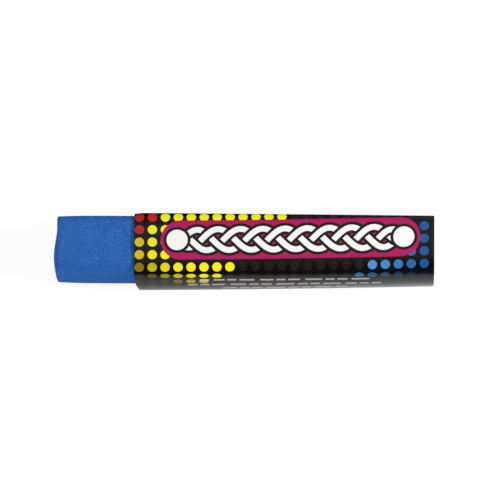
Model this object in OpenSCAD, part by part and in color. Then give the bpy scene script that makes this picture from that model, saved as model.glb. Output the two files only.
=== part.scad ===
// Stick of hair chalk in a wrapped paper sleeve.
// +X runs along the stick from its bare end to its wrapped end, +Z is up and -Y is the front.
// The origin is under the middle of the whole object, on the surface that it rests on.

/* [Chalk stick] */
// Length of the stick, over the domes of both ends
chalk_l = 64.2; // [56:0.1:90]
// Width of the stick across its side faces
chalk_w = 9.9; // [8:0.1:14]
// Height of the stick between its top and bottom faces
chalk_h = 9.9; // [9:0.1:14]
// Rounding of the four long arrises
arris_r = 1.2; // [0.8:0.1:2]
// How far the crown of an end face stands out
dome_h = 0.6; // [0.1:0.05:1.2]
// How far round its crown a dome reaches, with the rest of the end face flat
dome_reach = 5.5; // [3:0.1:9]
// How far the crown of the bare end lies in front of the stick's axis
crown_shift = 1.3; // [0:0.1:2]
// Rounding of the rim between an end face and the sides
rim_r = 0.35; // [0.2:0.05:1]
// How far each side is rubbed down at the tip of the bare end
tip_wear = 0.12; // [0:0.01:0.4]
// Length of the rubbed stretch behind the bare end's rim
tip_wear_l = 6; // [2:0.5:9]

/* [Paper sleeve] */
// Length of the sleeve along the stick
sleeve_l = 51.2; // [30:0.1:54]
// Thickness of the coated paper
paper_t = 0.14; // [0.08:0.01:0.3]
// Space between the paper and the stick at the tight end, on the sides and the top
fit_gap = 0.05; // [0.02:0.01:0.2]
// How much sharper the inside of a fold is than the arris it goes round
fold_tuck = 0.3; // [0:0.05:0.5]
// How far the stick's wrapped end lies inside the sleeve's tight end
end_recess = 0.8; // [0.1:0.1:3]
// Width of the glued lap at the tight end
lap_w = 4; // [3:0.1:4.4]
// Height over which the outer layer eases back after climbing over the inner edge
lap_ease = 1.2; // [0.4:0.1:1.4]
// Run of the sheared edge of the paper across its thickness
shear_run = 0.04; // [0.02:0.01:0.08]

/* [Slack] */
// How far the front panel bellies out between its two folds
front_belly = 0.4; // [0:0.01:0.6]
// How much of the sleeve's growth toward the mouth comes early, behind the tight end
early_growth = 0.5; // [0:0.05:0.9]

/* [Loose mouth] */
// Extra space above the stick at the mouth
mouth_top = 0.1; // [0:0.01:0.5]
// How far the top panel bows up at the mouth
mouth_bow = 0.08; // [0:0.01:0.4]
// Extra space behind the stick at the mouth
mouth_back = 0.22; // [0:0.01:0.4]
// Extra space in front of the stick at the mouth, along the top of the front panel
mouth_front = 0.27; // [0:0.01:0.6]
// How much farther out the foot of the front panel stands at the mouth
mouth_foot = 0.63; // [0:0.01:0.9]
// How far the mouth's edge is swept back at the foot of the front panel
sweep = 0.9; // [0:0.05:2]
// Height up the front panel to which the sweep reaches
sweep_h = 8; // [2:0.1:9]
// Width across the floor panel to which the sweep reaches
sweep_w = 4; // [2:0.1:7]

/* [Hidden] */

// Steps of the lofts: round a corner, across a flat panel, over a dome and along the sleeve
corner_steps = 6;
panel_steps = 6;
dome_steps = 7;
sleeve_steps = 12;

// Length of the whole object, and the two ends of the sleeve
overall_l = chalk_l + end_recess;
tight_x = overall_l / 2;
mouth_x = tight_x - sleeve_l;

// Radius inside the sleeve's folds, and how far the front panel leans out of its folds, in degrees
fold_r = arris_r - fold_tuck;
front_lean = atan(PI * front_belly / (chalk_h - 2 * fold_r));

// The stick lies on the sleeve's floor, off centre by what the sleeve's two sides differ
back_reach = chalk_w / 2 + fit_gap + mouth_back + 2 * paper_t;
front_reach = chalk_w / 2 + fit_gap + mouth_front - fold_r + (fold_r + paper_t) * cos(front_lean)
    + max([for (k = [0:panel_steps]) front_off(k / panel_steps, 1)]);
stick_y = (front_reach - back_reach) / 2;
stick_z = paper_t + chalk_h / 2;

// The sheet's two edges, level with the middle of the back panel at the tight end. What the girth gains
// toward the mouth is taken out of the lap, so the outer edge climbs.
lap_z = paper_t + (chalk_h + fit_gap) / 2;
inner_edge_z = lap_z + lap_w / 2;
outer_edge_z = lap_z - lap_w / 2;
lap_creep = mouth_back + mouth_front + mouth_foot + mouth_top;

// 0 to 1 with level ends, for f from 0 to 1
function ease(f) = let (c = max(0, min(1, f))) c * c * (3 - 2 * c);
// A hump that is 0 at f = 0 and 1, and 1 in the middle, with level ends
function hump(f) = 16 * f * f * (1 - f) * (1 - f);
function mix(a, b, f) = a + (b - a) * f;

// Points [y, z] of a turn about [cy, cz] from angle a to angle b, and of a quarter turn from angle a on
function arc(cy, cz, r, a, b) =
    [for (k = [0:corner_steps]) let (t = mix(a, b, k / corner_steps)) [cy + r * cos(t), cz + r * sin(t)]];
function quarter(cy, cz, r, a) = arc(cy, cz, r, a, a + 90);

// Points [y, z] between a and b, without its ends
function between(a, b) = [for (k = [1:panel_steps - 1]) mix(a, b, k / panel_steps)];

// The quads that join ring i to ring i + 1, where each ring has m points and ring 0 starts at point first
function strip(first, m, i, turned = false) = [
    for (j = [0:m - 1])
        let (a = first + i * m + j, b = first + i * m + (j + 1) % m)
        turned ? [a, b, b + m, a + m] : [a + m, b + m, b, a]
];

// ---- Chalk stick ----

// Section of the stick about its own axis, as points [y, z]
stick_section =
    let (y = chalk_w / 2, z = chalk_h / 2, cy = y - arris_r, cz = z - arris_r)
    concat(
        quarter(cy, cz, arris_r, 0), between([cy, z], [-cy, z]),
        quarter(-cy, cz, arris_r, 90), between([-y, cz], [-y, -cz]),
        quarter(-cy, -cz, arris_r, 180), between([-cy, -z], [cy, -z]),
        quarter(cy, -cz, arris_r, 270), between([y, -cz], [y, cz])
    );

// How far a point of the section lies behind the crown of an end face, which is at y = -shift
function dome_depth(p, shift) = dome_h * pow(sin(90 * min(1, norm([p.x + shift, p.y]) / dome_reach)), 2);

// Section points brought in by d and moved by -move, as [depth, y, z], with rim added to their depth
function end_ring(d, rim, shift, move = 0) = [
    for (p = stick_section)
        let (q = [p.x * (1 - 2 * d / chalk_w) - move, p.y * (1 - 2 * d / chalk_h)])
        [dome_depth(q, shift) + rim, q.x, q.y]
];

// Rings of one end from its crown out to the full section
function end_rings(worn, shift) = concat(
    [for (k = [1:dome_steps]) let (f = k / dome_steps)
        end_ring(mix(chalk_w / 2, rim_r + worn, f), 0, shift, shift * (1 - f))],
    [for (k = [1:corner_steps]) let (t = 90 * k / corner_steps)
        end_ring(worn + rim_r * (1 - sin(t)), rim_r * (1 - cos(t)), shift)]
);

// Rings of the rubbed stretch, from the bare end's rim back to the full section
wear_rings = [
    for (k = [1:dome_steps])
        let (f = k / dome_steps)
        [for (p = end_ring(tip_wear * (1 - f) * (1 - f), rim_r, crown_shift)) p + [tip_wear_l * f, 0, 0]]
];

// One cast stick with rounded arrises and domed ends, rubbed down a little at its bare tip
module chalk_stick() {
    bare_x = -overall_l / 2;
    wrapped_x = bare_x + chalk_l;
    bare_rings = concat(end_rings(tip_wear, crown_shift), wear_rings);
    bare = [for (ring = bare_rings) [for (p = ring) [bare_x + p.x, p.y, p.z]]];
    wrapped_rings = end_rings(0, 0);
    last = len(wrapped_rings) - 1;
    wrapped = [for (k = [last:-1:0]) [for (p = wrapped_rings[k]) [wrapped_x - p.x, p.y, p.z]]];
    rings = concat(bare, wrapped);
    m = len(stick_section);
    n = len(rings);
    points = concat([for (ring = rings) each ring], [[bare_x, -crown_shift, 0], [wrapped_x, 0, 0]]);
    faces = concat(
        [for (j = [0:m - 1]) [n * m, (j + 1) % m, j]],
        [for (i = [0:n - 2]) each strip(0, m, i, true)],
        [for (j = [0:m - 1]) [n * m + 1, (n - 1) * m + j, (n - 1) * m + (j + 1) % m]]
    );
    color([0.19, 0.39, 0.67])
        translate([0, stick_y, stick_z])
            polyhedron(points, faces, convexity = 2);
}

// ---- Paper sleeve ----

// How far the back panel's inside and outside stand off the panel's own plane at height z. The outer layer
// ends at low, in a step outside, and the inner layer ends at inner_edge_z, in a step inside.
function climb(z) = 1 - ease((z - inner_edge_z) / lap_ease);
function inside_off(z) = z < inner_edge_z ? 0 : paper_t * climb(z);
function outside_off(z, low) = z <= low ? paper_t : paper_t * (1 + climb(z));

// Heights at which the back panel has points, from its foot up
function back_heights(foot, low) = concat(
    [for (k = [1:panel_steps - 1]) mix(foot, low, k / panel_steps)],
    [low, low + shear_run, inner_edge_z - shear_run, inner_edge_z],
    [for (k = [1:panel_steps]) inner_edge_z + lap_ease * k / panel_steps]
);

// How far the front panel stands off the line of its upper fold, where f goes from 0 there to 1 at the lower
// fold, and u from 0 at the tight end to 1 at the full size of the mouth
function front_off(f, u) = mouth_foot * u * ease(f) + front_belly * sin(180 * f);

// Section of the sleeve, as points [y, z], from the foot of the back panel up, over the top and down the
// front. u is as above, and t is 0 for the inside and paper_t for the outside.
function sleeve_section(u, t) =
    let (
        r = fold_r + t,
        back = stick_y + chalk_w / 2 + fit_gap + mouth_back * u - fold_r,
        front = stick_y - chalk_w / 2 - fit_gap - mouth_front * u + fold_r,
        low = paper_t + fold_r,
        high = paper_t + chalk_h + fit_gap + mouth_top * u - fold_r,
        rise = r * sin(front_lean),
        outer_edge = outer_edge_z + lap_creep * u
    )
    concat(
        [for (z = back_heights(low, outer_edge))
            [back + fold_r + (t > 0 ? outside_off(z, outer_edge) : inside_off(z)), z]],
        quarter(back, high, r, 0),
        [for (k = [1:panel_steps - 1]) let (f = k / panel_steps)
            [mix(back, front, f), high + r + mouth_bow * u * hump(f)]],
        arc(front, high, r, 90, 180 - front_lean),
        [for (k = [1:panel_steps - 1]) let (f = k / panel_steps)
            [front - r * cos(front_lean) - front_off(f, u), mix(high + rise, low - rise, f)]],
        arc(front - mouth_foot * u, low, r, 180 + front_lean, 270),
        between([front - mouth_foot * u, low - r], [back, low - r]),
        quarter(back, low, r, 270)
    );

// How far the mouth's edge is swept back at the point p of the section
function swept(p) = sweep * ease(1 - p.y / sweep_h) * ease(1 - (p.x - stick_y + front_reach) / sweep_w);

// One ring of points [x, y, z] round the sleeve, v from 0 at the tight end to 1 at the mouth
function sleeve_ring(v, t) =
    let (u = v * (1 + early_growth * (1 - v)))
    [for (p = sleeve_section(u, t)) [mix(tight_x, mouth_x + swept(p), v), p.x, p.y]];

// One sheet wrapped once round the stick and glued to itself down the back, loose at the mouth
module paper_sleeve() {
    outside = [for (i = [0:sleeve_steps]) sleeve_ring(i / sleeve_steps, paper_t)];
    inside = [for (i = [0:sleeve_steps]) sleeve_ring(i / sleeve_steps, 0)];
    m = len(outside[0]);
    first = m * len(outside);
    last = sleeve_steps * m;
    faces = concat(
        [for (i = [0:sleeve_steps - 1]) each strip(0, m, i)],
        [for (i = [0:sleeve_steps - 1]) each strip(first, m, i, true)],
        [for (j = [0:m - 1]) let (k = (j + 1) % m) [j, k, first + k, first + j]],
        [for (j = [0:m - 1]) let (k = (j + 1) % m) [last + k, last + j, first + last + j, first + last + k]]
    );
    color([0.13, 0.12, 0.13])
        polyhedron([for (ring = concat(outside, inside)) each ring], faces, convexity = 4);
}

chalk_stick();
paper_sleeve();
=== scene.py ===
import math

import bpy
from mathutils import Matrix, Vector, noise


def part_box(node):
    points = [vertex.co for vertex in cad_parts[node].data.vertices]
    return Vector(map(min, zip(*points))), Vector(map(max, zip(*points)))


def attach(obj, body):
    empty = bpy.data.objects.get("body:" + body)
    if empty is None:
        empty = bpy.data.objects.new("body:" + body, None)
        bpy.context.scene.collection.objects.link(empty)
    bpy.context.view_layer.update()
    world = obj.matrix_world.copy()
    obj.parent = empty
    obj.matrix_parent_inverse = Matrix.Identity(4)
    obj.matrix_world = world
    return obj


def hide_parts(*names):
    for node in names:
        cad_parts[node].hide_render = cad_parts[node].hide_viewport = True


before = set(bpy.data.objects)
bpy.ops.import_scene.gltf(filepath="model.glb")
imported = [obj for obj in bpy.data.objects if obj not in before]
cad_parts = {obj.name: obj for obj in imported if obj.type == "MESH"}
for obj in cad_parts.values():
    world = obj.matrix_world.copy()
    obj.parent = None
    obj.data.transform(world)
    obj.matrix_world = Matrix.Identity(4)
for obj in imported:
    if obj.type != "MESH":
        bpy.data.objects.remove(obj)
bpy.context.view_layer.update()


# ---- Chalk stick ----
# One square stick of soft chalk, cast from pigment and gypsum paste in a smooth mould, so its long
# arrises are rounded and its ends stand out in shallow domes. The bare end is rubbed down a little,
# and its arrises are chipped.

mm = 0.001

stick_low, stick_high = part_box("chalk_stick")
sleeve_low, sleeve_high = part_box("paper_sleeve")
stick_size = stick_high - stick_low
stick_axis = (stick_low + stick_high) / 2
mouth_x = sleeve_low.x

arris_r = 1.2 * mm
dome_h = 0.6 * mm
dome_reach = 5.5 * mm
rim_r = 0.35 * mm
tip_wear = 0.12 * mm
tip_wear_l = 6 * mm
crown_shift = 1.3 * mm

# What wears the bare surface in: how deep (h) and how wide (w) its swells, grain and chips are.
swell_h, swell_w = 0.02 * mm, 4 * mm
grain_h, grain_w = 0.012 * mm, 0.5 * mm
chip_h, chip_w = 0.08 * mm, 0.9 * mm
chip_from, chip_rise = 0.22, 0.3
chip_place = Vector((7, 3, 5))
mouth_fade = 1.2 * mm
end_worn_l, end_fade = 1.2 * mm, 0.8 * mm
under_paper = 1 * mm

corner_steps = 10
face_steps = 34
dome_steps = 26
bare_steps = 60
hidden_steps = 14


def clamp(f):
    return max(0.0, min(1.0, f))


def ease(f):
    """0 to 1 with level ends, for f from 0 to 1."""
    return clamp(f) ** 2 * (3 - 2 * clamp(f))


def mix(a, b, f):
    return a + (b - a) * f


def arc(y, z, radius, start, end, steps):
    """Points (y, z) of a turn about (y, z) between two angles in degrees."""
    turn = [math.radians(mix(start, end, k / steps)) for k in range(steps + 1)]
    return [(y + radius * math.cos(t), z + radius * math.sin(t)) for t in turn]


def between(a, b, steps):
    """Points on the line from a to b, without its ends."""
    return [tuple(mix(p, q, k / steps) for p, q in zip(a, b)) for k in range(1, steps)]


def stick_section():
    """The stick's section about its own axis, as points (y, z)."""
    y, z = stick_size.y / 2, stick_size.z / 2
    cy, cz = y - arris_r, z - arris_r
    points = []
    for start, centre, end, side in (
        (0, (cy, cz), (cy, z), (-cy, z)),
        (90, (-cy, cz), (-y, cz), (-y, -cz)),
        (180, (-cy, -cz), (-cy, -z), (cy, -z)),
        (270, (cy, -cz), (y, -cz), (y, cz)),
    ):
        points += arc(*centre, arris_r, start, start + 90, corner_steps)
        points += between(end, side, face_steps)
    return points


def end_ring(section, inset, rim_depth, shift, move=0):
    """The section brought in by inset and moved by -move, as points (depth behind crown, y, z)."""
    shrink_y = 1 - 2 * inset / stick_size.y
    shrink_z = 1 - 2 * inset / stick_size.z
    ring = []
    for y, z in section:
        y, z = y * shrink_y - move, z * shrink_z
        fall = min(1, math.hypot(y + shift, z) / dome_reach)
        ring.append((rim_depth + dome_h * math.sin(fall * math.pi / 2) ** 2, y, z))
    return ring


def end_rings(section, worn, shift):
    """Rings of one end, from its crown, which lies at y = -shift, out to the full section."""
    rings = []
    for k in range(1, dome_steps + 1):
        f = k / dome_steps
        inset = mix(stick_size.y / 2, rim_r + worn, f)
        rings.append(end_ring(section, inset, 0, shift, shift * (1 - f)))
    for k in range(1, corner_steps + 1):
        t = math.radians(90 * k / corner_steps)
        inset = worn + rim_r * (1 - math.sin(t))
        rings.append(end_ring(section, inset, rim_r * (1 - math.cos(t)), shift))
    return rings


def tube_faces(first, points, rings):
    """Quads that join each ring of points to the next."""
    faces = []
    for i in range(rings - 1):
        for j in range(points):
            a = first + i * points + j
            b = first + i * points + (j + 1) % points
            faces.append((a, b, b + points, a + points))
    return faces


def on_arris(normal):
    """0 on the flat sides, and up to 2 where a long arris turns."""
    return 4 * abs(normal.y * normal.z)


def on_rim(normal):
    """0 on the sides and the crowns, and up to 1/4 on the rim between them."""
    return abs(normal.x) * (1 - abs(normal.x))


def stick_wear(point, normal):
    """How far the surface is worn in at a point: swells, grain and chips along the arrises."""
    bare = ease((mouth_x - point.x) / mouth_fade)
    bare += ease((point.x - stick_high.x + end_worn_l) / end_fade)
    swell = swell_h * noise.noise(point / swell_w)
    grain = grain_h * noise.noise(point / grain_w)
    chipped = noise.noise(point / chip_w + chip_place)
    chip = ease((chipped - chip_from) / chip_rise) * clamp(on_arris(normal) + 3 * on_rim(normal))
    return bare * (swell + grain + chip_h * chip)


section = stick_section()
bare_rings = end_rings(section, tip_wear, crown_shift)
bare_l = mouth_x - stick_low.x
for k in range(1, bare_steps + 1):
    behind = k / bare_steps * (bare_l + under_paper)
    rubbed = tip_wear * (1 - clamp(behind / tip_wear_l)) ** 2
    ring = end_ring(section, rubbed, rim_r, crown_shift)
    bare_rings.append([(depth + behind, y, z) for depth, y, z in ring])
wrapped_rings = end_rings(section, 0, 0)[::-1]

stick_rings = [[(stick_low.x + depth, y, z) for depth, y, z in ring] for ring in bare_rings]
wrapped = [[(stick_high.x - depth, y, z) for depth, y, z in ring] for ring in wrapped_rings]
hidden_ends = list(zip(stick_rings[-1], wrapped[0]))
for k in range(1, hidden_steps):
    f = k / hidden_steps
    stick_rings.append([tuple(mix(p, q, f) for p, q in zip(a, b)) for a, b in hidden_ends])
stick_rings += wrapped

to_axis = Vector((0, stick_axis.y, stick_axis.z))
stick_points = [Vector(p) + to_axis for ring in stick_rings for p in ring]
crown = len(stick_points)
stick_points += [
    Vector((stick_low.x, stick_axis.y - crown_shift, stick_axis.z)),
    Vector((stick_high.x, stick_axis.y, stick_axis.z)),
]
ring_l = len(section)
last_ring = crown - ring_l
stick_faces = tube_faces(0, ring_l, len(stick_rings))
stick_faces += [(crown, (j + 1) % ring_l, j) for j in range(ring_l)]
stick_faces += [(crown + 1, last_ring + j, last_ring + (j + 1) % ring_l) for j in range(ring_l)]

stick_mesh = bpy.data.meshes.new("chalk")
stick_mesh.from_pydata(stick_points, [], stick_faces)
stick_mesh.shade_smooth()
normals = [v.normal.copy() for v in stick_mesh.vertices]
# Painted shade: the edge attribute darkens the chalk along its arrises and end rims, most of all on the
# front arrises.
arris_shade = stick_mesh.attributes.new("edge", "FLOAT", "POINT")
for i, (vertex, normal) in enumerate(zip(stick_mesh.vertices, normals)):
    shade_weight = 1 if normal.y < 0 else 0.2  # painted shade: the front arrises are darkened more than the rear ones
    arris_shade.data[i].value = clamp(on_arris(normal) * shade_weight + 2 * on_rim(normal))
    vertex.co -= normal * stick_wear(vertex.co.copy(), normal)
stick = bpy.data.objects.new("chalk", stick_mesh)
bpy.context.scene.collection.objects.link(stick)


class Socket:
    """A shader value, on which Python's operators add Math nodes."""

    def __init__(self, finish, socket):
        self.finish = finish
        self.socket = socket

    def math(self, operation, *values):
        sockets = dict(enumerate((self, *values)))
        return self.finish.add("ShaderNodeMath", {"operation": operation}, sockets)

    def __add__(self, other):
        return self.math("ADD", other)

    __radd__ = __add__

    def __mul__(self, other):
        return self.math("MULTIPLY", other)

    __rmul__ = __mul__

    def __sub__(self, other):
        return self.math("SUBTRACT", other)

    def __rsub__(self, other):
        return (self * -1) + other

    def __truediv__(self, other):
        return self.math("DIVIDE", other)

    def __gt__(self, other):
        return self.math("GREATER_THAN", other)

    def __lt__(self, other):
        return self.math("LESS_THAN", other)

    def ramp(self, low, high):
        """0 up to low, 1 from high on, and smooth between them, where low may be the larger."""
        sockets = {"Value": self, "From Min": low, "From Max": high}
        return self.finish.add("ShaderNodeMapRange", {"interpolation_type": "SMOOTHSTEP"}, sockets)


class Finish:
    """A material for one finish, or a world, built from nodes that each come from add()."""

    def __init__(self, name, kind="materials"):
        self.material = getattr(bpy.data, kind).new(name)
        self.material.use_nodes = True
        self.tree = self.material.node_tree
        self.tree.nodes.clear()

    def add(self, kind, settings=None, sockets=None, output=0):
        """Adds a node from its type, settings and sockets' values or links. Returns one output."""
        node = self.tree.nodes.new(kind)
        for name, value in (settings or {}).items():
            setattr(node, name, value)
        for name, value in (sockets or {}).items():
            if isinstance(name, int):
                target = node.inputs[name]
            else:
                target = next(s for s in node.inputs if s.name == name and s.enabled)
            if isinstance(value, Socket):
                self.tree.links.new(value.socket, target)
            else:
                target.default_value = value
        if not node.outputs:
            return None
        if isinstance(output, int):
            return Socket(self, [s for s in node.outputs if s.enabled][output])
        return Socket(self, node.outputs[output])

    def blend(self, factor, a, b):
        """The colour a where factor is 0 and b where it is 1."""
        return self.add("ShaderNodeMix", {"data_type": "RGBA"}, {"Factor": factor, "A": a, "B": b})

    def millimetres(self, stretch=(1, 1, 1)):
        """The place on the object in millimetres, with each axis multiplied by its stretch."""
        place = self.add("ShaderNodeTexCoord", output="Object")
        scale = tuple(s / mm for s in stretch)
        return self.add("ShaderNodeVectorMath", {"operation": "MULTIPLY"}, {0: place, 1: scale})

    def noise(self, place, scale, detail=2):
        sockets = {"Vector": place, "Scale": scale, "Detail": detail}
        return self.add("ShaderNodeTexNoise", {}, sockets)

    def attribute(self, name):
        return self.add("ShaderNodeAttribute", {"attribute_name": name}, output="Fac")

    def seen_ray(self):
        """1 for a ray that the camera sees, in a gloss or through glass too, and 0 for light."""
        kinds = ("Is Camera Ray", "Is Glossy Ray", "Is Transmission Ray")
        camera, glossy, through = (self.add("ShaderNodeLightPath", output=kind) for kind in kinds)
        return camera.math("MAXIMUM", glossy).math("MAXIMUM", through)

    def surface(self, height, sockets):
        """Ends the material in a Principled shader, with a bump whose height is in millimetres."""
        bump = self.add("ShaderNodeBump", {}, {"Strength": 1.0, "Distance": mm, "Height": height})
        shader = self.add("ShaderNodeBsdfPrincipled", {}, {**sockets, "Normal": bump})
        self.add("ShaderNodeOutputMaterial", {}, {"Surface": shader})
        return self.material


def ink(red, green, blue):
    """A colour given as it looks on a screen, from 0 to 255, as linear light."""
    return (*(((c / 255 + 0.055) / 1.055) ** 2.4 for c in (red, green, blue)), 1)


plain_blue = ink(44, 99, 172)
cloud_blue = ink(50, 106, 179)
drag_blue = ink(38, 91, 161)
hollow_blue = ink(24, 76, 147)
dust_blue = ink(74, 129, 200)
# The colour of the painted shade along the chalk's arrises and end rims.
arris_shade_blue = ink(24, 76, 142)
pore_blue = ink(24, 58, 118)

cloud_scale = 0.55
grain_scale = 5.5
drag_stretch = (0.12, 3.2, 3.2)
pore_scale = 1.7
pore_r, pore_floor_r = 0.16, 0.09
chalk_rough = 0.95


def blue_chalk():
    """Dull, powdery blue: faint clouds, drag lines along the stick, fine grain, pin-hole pores."""
    chalk = Finish("blue_chalk")
    place = chalk.millimetres()
    clouds = chalk.noise(place, cloud_scale, 3)
    grain = chalk.noise(place, grain_scale, 2)
    drag = chalk.noise(chalk.millimetres(drag_stretch), 1, 2)
    cells = chalk.add("ShaderNodeTexVoronoi", {}, {"Vector": place, "Scale": pore_scale})
    pores = cells.ramp(pore_r, pore_floor_r)
    colour = chalk.blend(clouds.ramp(0.3, 0.7), plain_blue, cloud_blue)
    for mask, strength, shade in (
        (drag.ramp(0.45, 0.75), 0.3, drag_blue),
        (grain.ramp(0.52, 0.3), 0.7, hollow_blue),
        (grain.ramp(0.48, 0.7), 0.7, dust_blue),
        # painted shade along the arrises and end rims
        (chalk.attribute("edge"), 0.35, arris_shade_blue),
        (pores, 0.55, pore_blue),
    ):
        colour = chalk.blend(mask * strength, colour, shade)
    height = grain * 0.03 + drag * 0.02 + clouds * 0.04 - pores * 0.04
    matte = {"Roughness": chalk_rough, "Specular IOR Level": 0.0}
    return chalk.surface(height, {"Base Color": colour, **matte})


stick.data.materials.append(blue_chalk())
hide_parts("chalk_stick")
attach(stick, "root")


# ---- Paper sleeve ----
# One sheet of thin, gloss-coated paper, printed on its outside, wrapped once round the stick and
# glued to itself down the back. It is tight at one end and stands loose at the mouth, where the foot
# of its front panel is swept back.

paper_t = 0.14 * mm
fit_gap = 0.05 * mm
fold_r = arris_r - 0.3 * mm
lap_w = 4 * mm
lap_ease = 1.2 * mm
shear_run = 0.04 * mm
front_belly = 0.4 * mm

# How much further the paper stands out at the mouth than at the tight end, panel by panel.
mouth_top = 0.1 * mm
mouth_bow = 0.08 * mm
mouth_back = 0.22 * mm
mouth_front = 0.27 * mm
mouth_foot = 0.63 * mm
early_growth = 0.5  # the slack comes in faster by the tight end than by the mouth

sweep = 0.9 * mm
sweep_h = 8 * mm
sweep_w = 4 * mm
ripple_h = 0.05 * mm
ripples_along, ripples_across, ripple_shift = 7, 1.6, 9.3
press_depth = 0.22 * mm
press_l = 1.8 * mm
press_w = 3.5 * mm
crease = math.radians(35)

tight_x = sleeve_high.x
lap_z = paper_t + (stick_size.z + fit_gap) / 2
inner_edge_z = lap_z + lap_w / 2
outer_edge_z = lap_z - lap_w / 2
lap_creep = mouth_back + mouth_front + mouth_foot + mouth_top
front_lean = math.atan(math.pi * front_belly / (stick_size.z - 2 * fold_r))

fold_steps = 10
panel_steps = 36
lap_steps = 8
sleeve_steps = 110


def hump(f):
    """0 at f = 0 and 1, 1 in the middle, with level ends."""
    return 16 * f * f * (1 - f) ** 2


def ripple(u, f, panel):
    """How far a panel stands out in a slack wave, u along the sleeve and f across the panel."""
    wave = noise.noise(Vector((u * ripples_along, f * ripples_across, panel * ripple_shift)))
    return ripple_h * (0.5 + 0.5 * u) * math.sqrt(hump(f)) * clamp(0.5 + wave)


def climb(z):
    """1 at the sheet's inner edge, falling to 0 where the outer layer is back on the panel's plane."""
    return 1 - ease((z - inner_edge_z) / lap_ease)


def back_panel(u, outside):
    """Points of the back panel from its foot up: a plane, the lap's step and the ease above it."""
    plane = stick_axis.y + stick_size.y / 2 + fit_gap + mouth_back * u
    foot = paper_t + fold_r
    outer_edge = outer_edge_z + lap_creep * u
    lap_from, lap_to = outer_edge + shear_run, inner_edge_z - shear_run
    inner_steps = range(1, lap_steps)
    heights = [mix(foot, outer_edge, k / lap_steps) for k in inner_steps] + [outer_edge, lap_from]
    heights += [mix(lap_from, lap_to, k / lap_steps) for k in inner_steps] + [lap_to, inner_edge_z]
    heights += [inner_edge_z + lap_ease * k / lap_steps for k in range(1, lap_steps + 1)]
    points = []
    for z in heights:
        if outside:
            stand = paper_t + (paper_t * climb(z) if z > outer_edge else 0)
        else:
            stand = paper_t * climb(z) if z >= inner_edge_z else 0
        points.append((plane + stand, z))
    return points


def sleeve_section(u, outside):
    """The sleeve's section, from the foot of the back up, over the top, down the front and under."""
    radius = fold_r + (paper_t if outside else 0)
    back = stick_axis.y + stick_size.y / 2 + fit_gap + mouth_back * u - fold_r
    front = stick_axis.y - stick_size.y / 2 - fit_gap - mouth_front * u + fold_r
    low = paper_t + fold_r
    high = paper_t + stick_size.z + fit_gap + mouth_top * u - fold_r
    foot = front - mouth_foot * u
    lean = math.degrees(front_lean)
    rise = radius * math.sin(front_lean)
    across = [k / panel_steps for k in range(1, panel_steps)]
    points = back_panel(u, outside)
    points += arc(back, high, radius, 0, 90, fold_steps)
    for f in across:
        bow = mouth_bow * u * hump(f) + ripple(u, f, 1)
        points.append((mix(back, front, f), high + radius + bow))
    points += arc(front, high, radius, 90, 180 - lean, fold_steps)
    for f in across:
        stand = radius * math.cos(front_lean) + mouth_foot * u * ease(f)
        stand += front_belly * math.sin(math.pi * f) + ripple(u, f, 2)
        points.append((front - stand, mix(high + rise, low - rise, f)))
    points += arc(foot, low, radius, 180 + lean, 270, fold_steps)
    points += between((foot, low - radius), (back, low - radius), panel_steps)
    points += arc(back, low, radius, 270, 360, fold_steps)
    return points


def swept(y, z):
    """How far the mouth's cut edge is swept back at a point of the section."""
    return sweep * ease(1 - z / sweep_h) * ease(1 - (y - sleeve_low.y) / sweep_w)


def pressed_in(x, y, z):
    """How far the mouth's upper rear corner is pressed toward the stick by handling."""
    near_mouth = clamp(1 - (x - mouth_x) / press_l)
    near_corner = ease(1 - math.hypot(y - sleeve_high.y, z - sleeve_high.z) / press_w)
    return press_depth * near_mouth**2 * near_corner


def sleeve_rings(outside):
    rings = []
    for i in range(sleeve_steps + 1):
        v = i / sleeve_steps
        ring = []
        for y, z in sleeve_section(v * (1 + early_growth * (1 - v)), outside):
            x = mix(tight_x, mouth_x + swept(y, z), v)
            ring.append(Vector((x, y - pressed_in(x, y, z), z)))
        rings.append(ring)
    return rings


outer_rings = sleeve_rings(True)
inner_rings = sleeve_rings(False)
girth_points = len(outer_rings[0])
ring_count = len(outer_rings)
step_at = lap_steps - 1  # the point at the outer free edge, below the step


def sheet_around(ring):
    """Each point's distance from the sheet's inner edge, round the outside, down the back first."""
    around = [0.0] * girth_points
    around[step_at] = inner_edge_z - ring[step_at].z
    for k in range(1, girth_points):
        here = (step_at - k) % girth_points
        before = (here + 1) % girth_points
        around[here] = around[before] + (ring[here].yz - ring[before].yz).length
    return around


outer_count = girth_points * ring_count
sleeve_points = [p for ring in outer_rings + inner_rings for p in ring]
around_m = [a for ring in outer_rings for a in sheet_around(ring)]
outer_faces = [face[::-1] for face in tube_faces(0, girth_points, ring_count)]
inner_faces = tube_faces(outer_count, girth_points, ring_count)
mouth_ring = (ring_count - 1) * girth_points
cut_faces = []
for j in range(girth_points):
    k = (j + 1) % girth_points
    cut_faces.append((j, k, outer_count + k, outer_count + j))
    cut_faces.append(tuple(mouth_ring + p for p in (k, j, outer_count + j, outer_count + k)))

sleeve_mesh = bpy.data.meshes.new("sleeve")
sleeve_mesh.from_pydata(sleeve_points, [], outer_faces + inner_faces + cut_faces)
sleeve_mesh.shade_smooth()
sleeve_mesh.set_sharp_from_angle(angle=crease)
sleeve = bpy.data.objects.new("sleeve", sleeve_mesh)
bpy.context.scene.collection.objects.link(sleeve)

along = sleeve_mesh.attributes.new("along", "FLOAT", "POINT")
around = sleeve_mesh.attributes.new("around", "FLOAT", "POINT")
for i, vertex in enumerate(sleeve_mesh.vertices):
    along.data[i].value = (vertex.co.x - mouth_x) / mm
    around.data[i].value = around_m[i % outer_count] / mm

printed, bare_back, cut_edge = range(3)
for i, polygon in enumerate(sleeve_mesh.polygons):
    if i < len(outer_faces):
        polygon.material_index = cut_edge if i % girth_points == step_at else printed
    elif i < len(outer_faces) + len(inner_faces):
        polygon.material_index = bare_back
    else:
        polygon.material_index = cut_edge


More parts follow.
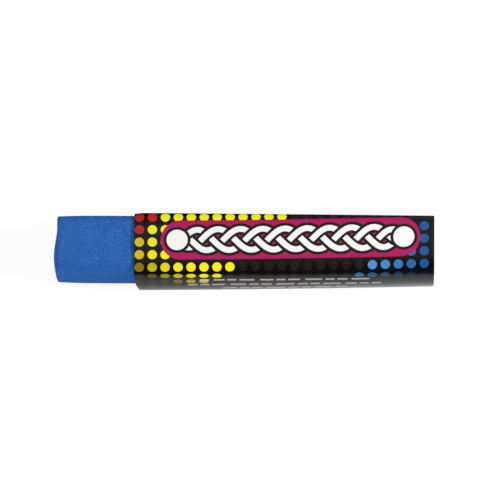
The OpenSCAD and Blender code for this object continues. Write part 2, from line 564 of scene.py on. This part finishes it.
# The sheet laid flat for the finish: its printed side above, its inside and cut edges in bands below.
flat = sleeve_mesh.uv_layers.new(name="OFBake")
sheet_l = tight_x - mouth_x
sheet_w = max(around_m)
margin = 0.01
inside_band, inside_band_w = 0.02, 0.1
cut_band, cut_band_w = 0.14, 0.01
printed_scale = (1 - 2 * margin) / sheet_l
for polygon in sleeve_mesh.polygons:
    for loop in polygon.loop_indices:
        vertex = sleeve_mesh.loops[loop].vertex_index
        where = sleeve_mesh.vertices[vertex].co
        run = margin + (where.x - mouth_x) * printed_scale
        turn = around_m[vertex % outer_count]
        if polygon.material_index == printed:
            flat.data[loop].uv = (run, 1 - margin - turn * printed_scale)
        elif polygon.material_index == bare_back:
            flat.data[loop].uv = (run, inside_band + inside_band_w * turn / sheet_w)
        else:
            inner = vertex >= outer_count
            flat.data[loop].uv = (margin + turn * printed_scale, cut_band + cut_band_w * inner)


# The print, in millimetres along the sheet from the mouth, and across it from the line that runs
# down the middle of the top panel, which lies top_line round the sheet from its inner edge.
top_line = 32.93
print_skew = -0.0098
fold_across = 5.2  # from that line to the top panel's folds
soft = 0.03

dot_pitch = 2.21
dot_r = 0.8
first_column = 0.86
last_column = 22.5
top_row = 3.5

# Where the dots' colours change, by the column from the mouth, the row from the back, or both added.
red_until, warm_until, blue_from = 2.5, 12.5, 22.5
amber_columns = (1.4, -0.4)
olive_columns, olive_row, olive_slant = (1.8, -3.6), 4, 1.8
olive_rows = (5.6, 8.2)
blue_row = 1.5
deep_blue_columns = (17.5, 23)
night_columns, night_row, night_slant = (18.5, 29.5), 5, 7

# Each rule's row, half its length, and where its dashes start.
rules = ((6.75, 14.5, 0.6), (7.68, 16.5, 5.2), (8.7, 10.6, 2.6))
rules_middle = 25.7
rule_half_w = 0.3
rule_soft = 0.06
rule_strength = 0.52
dash_rate, wander_rate, wander_reach = 2.3, 0.7, 1.3
dash_gap = (-0.85, -0.65)

# The plait runs down the top panel between two beads, on a plate with round ends.
plait_from, plait_to = 5.5, 47.8
plait_lift = 0.38
plait_reach = 1.85
plait_wave = 11.4
plait_tip = 4.5
tip_taper = 0.7
strand_r = 0.5
bead_r = 1.8
keyline_w = 0.5
plate_r = 3.45
plate_half = 18.72

fibre_scale, patch_scale = 6, 0.35
fibre_h, patch_h = 0.004, 0.05
scuffs, scuff_strength = (0.36, 0.46), 0.08
varnish_off_fold, varnish_by_fold = 0.35, (0.5, 2.6)
front_varnish = 0.5
front_below, front_above, front_along = (1.5, 12), (20, 14), (-40, 60)
ink_rough, varnish_rough = 0.6, 0.16

ground_black = ink(15, 13, 15)
dot_red = ink(200, 34, 34)
dot_yellow = ink(246, 236, 20)
dot_amber = ink(232, 158, 20)
dot_olive = ink(42, 40, 18)
dot_light_blue = ink(76, 142, 200)
dot_blue = ink(24, 86, 162)
dot_night_blue = ink(12, 26, 40)
dot_dim = ink(34, 27, 25)
rule_grey = ink(226, 224, 222)
plate_magenta = ink(174, 20, 90)
keyline_black = ink(18, 14, 18)
plait_white = ink(245, 244, 242)
scuff_grey = ink(120, 116, 112)


def distance_to(x, y):
    return (x * x + y * y).math("SQRT")


def dot_grid(paper, along_mm, row):
    """The dots' mask and colours: red and yellow by the mouth, then nearly black, then blue."""
    column = (along_mm - first_column) / dot_pitch + 0.5
    column_number = column.math("FLOOR")
    row_number = row.math("FLOOR")
    dx = column - column_number - 0.5
    dy = row - row_number - 0.5
    from_centre = distance_to(dx, dy) * dot_pitch
    dots = from_centre.ramp(dot_r + soft, dot_r - soft) * (column_number < last_column)

    diagonal = column_number + row_number
    not_red = diagonal > red_until
    warm = paper.blend(not_red, dot_red, dot_yellow)
    warm = paper.blend(column_number.ramp(*amber_columns) * not_red * 0.45, warm, dot_amber)
    down_front = (row_number - olive_row).math("MAXIMUM", 0) * olive_slant
    by_mouth = (column_number - down_front).ramp(*olive_columns)
    fade = by_mouth.math("MAXIMUM", row_number.ramp(*olive_rows) * 0.9)
    warm = paper.blend(fade, warm, dot_olive)
    cool = paper.blend(column_number.ramp(*deep_blue_columns), dot_light_blue, dot_blue)
    down_front = (row_number - night_row).math("MAXIMUM", 0) * night_slant
    cool = paper.blend((column_number + down_front).ramp(*night_columns), cool, dot_night_blue)
    colour = paper.blend(diagonal > warm_until, warm, dot_dim)
    colour = paper.blend((diagonal > blue_from) * (row_number > blue_row), colour, cool)
    return dots, colour


def broken_rule(along_mm, row, rule_row, half_length, start):
    """The mask of one straight rule, broken into dashes of uneven length."""
    beside = ((row - 0.5 - rule_row) * dot_pitch).math("ABSOLUTE")
    from_middle = (along_mm - rules_middle).math("ABSOLUTE")
    wander = (along_mm * wander_rate + start * 2).math("SINE") * wander_reach
    dashes = (along_mm * dash_rate + wander + start).math("SINE")
    line = beside.ramp(rule_half_w + rule_soft, rule_half_w - rule_soft)
    return line * (from_middle < half_length) * dashes.ramp(*dash_gap)


def plait(from_middle, off_middle):
    """A three-strand plait between two beads: its white, and a point's distance from any of it."""
    half_plait = (plait_to - plait_from) / 2 - bead_r
    to_bead = from_middle.math("ABSOLUTE") - half_plait
    beyond = to_bead.math("MAXIMUM", 0)
    tip = ((to_bead + plait_tip) / plait_tip).math("MAXIMUM", 0).math("MINIMUM", 1)
    swing = (1 - tip * tip * tip_taper) * plait_reach
    narrowing = tip * from_middle.math("SIGN") * (-2 * tip_taper * plait_reach / plait_tip)
    per_mm = 2 * math.pi / plait_wave
    strands = []
    for k in range(3):
        turn = from_middle * per_mm + 2 * math.pi * k / 3
        side = turn.math("SINE")
        slope = turn.math("COSINE") * swing * per_mm + side * narrowing
        off = off_middle - side * swing
        square = off * off / (slope * slope + 1) + beyond * beyond
        gap = square.math("SQRT") - strand_r
        over = (gap < keyline_w) * ((turn * 2).math("SINE") + 2)
        strands.append((gap, over))
    nearest, top = strands[0]
    for gap, over in strands[1:]:
        nearest = nearest.math("MINIMUM", gap)
        top = top.math("MAXIMUM", over)
    bead = distance_to(off_middle, to_bead) - bead_r
    on_top = top - 0.001  # a strand is white only where no other lies over it
    white = sum(gap.ramp(soft, -soft) * (over > on_top) for gap, over in strands)
    white = white * (bead > keyline_w) + bead.ramp(soft, -soft)
    return white, nearest.math("MINIMUM", bead)


def printed_paper():
    """A black ground with a grid of dots, a white plait on a magenta plate along the top, and broken
    rules on the front, all under a varnish that is thin along the folds."""
    paper = Finish("printed_paper")
    along_mm = paper.attribute("along")
    across = paper.attribute("around") - along_mm * print_skew - top_line
    row = top_row - across / dot_pitch

    dots, dot_colour = dot_grid(paper, along_mm, row)
    colour = paper.blend(dots, ground_black, dot_colour)
    for rule in rules:
        colour = paper.blend(broken_rule(along_mm, row, *rule) * rule_strength, colour, rule_grey)

    from_middle = along_mm - (plait_from + plait_to) / 2
    off_middle = across - plait_lift
    past_end = (from_middle.math("ABSOLUTE") - plate_half).math("MAXIMUM", 0)
    plate = distance_to(past_end, off_middle) - plate_r
    white, nearest = plait(from_middle, off_middle)
    colour = paper.blend(plate.ramp(soft, -soft), colour, plate_magenta)
    colour = paper.blend(nearest.ramp(keyline_w + soft, keyline_w - soft), colour, keyline_black)
    colour = paper.blend(white, colour, plait_white)

    place = paper.millimetres()
    fibre = paper.noise(place, fibre_scale, 3)
    patches = paper.noise(place, patch_scale, 2)
    scuffed = (fibre * patches).ramp(*scuffs) * scuff_strength
    colour = paper.blend(scuffed, colour, scuff_grey)
    height = fibre * fibre_h + patches * patch_h

    from_fold = (across.math("ABSOLUTE") - fold_across).math("ABSOLUTE")
    down_front = across * -1 - fold_across
    on_front = down_front.ramp(*front_below) * down_front.ramp(*front_above) * along_mm.ramp(*front_along)
    varnish = from_fold.ramp(*varnish_by_fold) * varnish_off_fold + on_front * front_varnish
    printed_ink = {"Base Color": colour, "Roughness": ink_rough, "Specular IOR Level": 0.0}
    coat = {"Coat Weight": varnish, "Coat Roughness": varnish_rough}
    return paper.surface(height, {**printed_ink, **coat})


def plain_paper(name, colour):
    """Uncoated white paper, whose fibres are a tenth darker."""
    paper = Finish(name)
    fibre = paper.noise(paper.millimetres(), 8, 3)
    shade = paper.blend(fibre, ink(*(0.9 * c for c in colour)), ink(*colour))
    return paper.surface(fibre * 0.01, {"Base Color": shade, "Roughness": 0.9})


sleeve.data.materials.append(printed_paper())
sleeve.data.materials.append(plain_paper("inside_paper", (214, 212, 208)))
sleeve.data.materials.append(plain_paper("cut_paper", (196, 192, 186)))
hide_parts("paper_sleeve")
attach(sleeve, "root")


# ---- Table ----
# A plain white table top, smooth and matt. It carries on past the edges of the view, and takes the
# object's soft shadow.

table_half = 1.5
table_grey = (0.55, 0.55, 0.55, 1)
white_share = 0.75
white_level = 1.2

table_mesh = bpy.data.meshes.new("table")
corners = [(x * table_half, y * table_half, 0) for x, y in ((-1, -1), (1, -1), (1, 1), (-1, 1))]
table_mesh.from_pydata(corners, [], [(0, 1, 2, 3)])
table = bpy.data.objects.new("table", table_mesh)
bpy.context.scene.collection.objects.link(table)

white_top = Finish("white_top")
seen = white_top.seen_ray()
matt = white_top.add("ShaderNodeBsdfDiffuse", {}, {"Color": table_grey})
lift = white_top.add("ShaderNodeEmission", {}, {"Color": (1, 1, 1, 1), "Strength": white_level})
both = white_top.add("ShaderNodeMixShader", {}, {0: seen * white_share, 1: matt, 2: lift})
white_top.add("ShaderNodeOutputMaterial", {}, {"Surface": both})
table.data.materials.append(white_top.material)


# ---- Light ----
# Soft daylight from all round, and three soft lamps: a small one on the right, which throws the
# mouth's shadow, a large one low on the left and in front, and a large weak one behind.

middle = Vector((0, 0, stick_axis.z))
sky_light = 0.3
daylight = Finish("daylight", "worlds")
level = daylight.seen_ray() * (1 - sky_light) + sky_light
sky = daylight.add("ShaderNodeBackground", {}, {"Color": (1, 1, 1, 1), "Strength": level})
daylight.add("ShaderNodeOutputWorld", {}, {"Surface": sky})
bpy.context.scene.world = daylight.material


def soft_lamp(name, azimuth, elevation, distance, size, power):
    """A square lamp aimed at the object. Azimuth 0 is in front, and it grows toward the right."""
    a, e = math.radians(azimuth), math.radians(elevation)
    away = Vector((math.sin(a) * math.cos(e), -math.cos(a) * math.cos(e), math.sin(e)))
    lamp = bpy.data.lights.new(name, "AREA")
    lamp.size = size
    lamp.energy = power
    holder = bpy.data.objects.new(name, lamp)
    holder.location = middle + away * distance
    holder.rotation_euler = away.to_track_quat("Z", "Y").to_euler()
    bpy.context.scene.collection.objects.link(holder)


soft_lamp("key", azimuth=84, elevation=31, distance=0.6, size=0.14, power=3.3)
soft_lamp("fill", azimuth=-40, elevation=12, distance=0.6, size=0.4, power=2.5)
soft_lamp("rim", azimuth=180, elevation=32, distance=0.6, size=0.4, power=0.9)


# ---- Camera ----
# A long lens that looks down on the stick from in front, almost from above. The stick lies across
# the middle of the view.

pixels = 500
pixels_per_mm = 5.846
elevation = math.radians(75.2)
roll = math.radians(0.27)
lens, sensor = 900, 36
right_px = 6.12
down_px = -0.25

view_w = pixels / pixels_per_mm * mm
distance = view_w * lens / sensor
right = Vector((1, 0, 0))
up = Vector((0, math.sin(elevation), math.cos(elevation)))
back = Vector((0, -math.cos(elevation), math.sin(elevation)))
aim = Vector((0, stick_axis.y, stick_axis.z))
aim += (right * right_px - up * down_px) / pixels_per_mm * mm
camera_data = bpy.data.cameras.new("camera")
camera_data.lens = lens
camera_data.sensor_width = sensor
camera_data.clip_start = 0.01
camera = bpy.data.objects.new("camera", camera_data)
turned = Matrix((right, up, back)).transposed() @ Matrix.Rotation(roll, 3, "Z")
camera.matrix_world = Matrix.Translation(aim + back * distance) @ turned.to_4x4()
bpy.context.scene.collection.objects.link(camera)
bpy.context.scene.camera = camera
bpy.context.scene.view_settings.view_transform = "Standard"
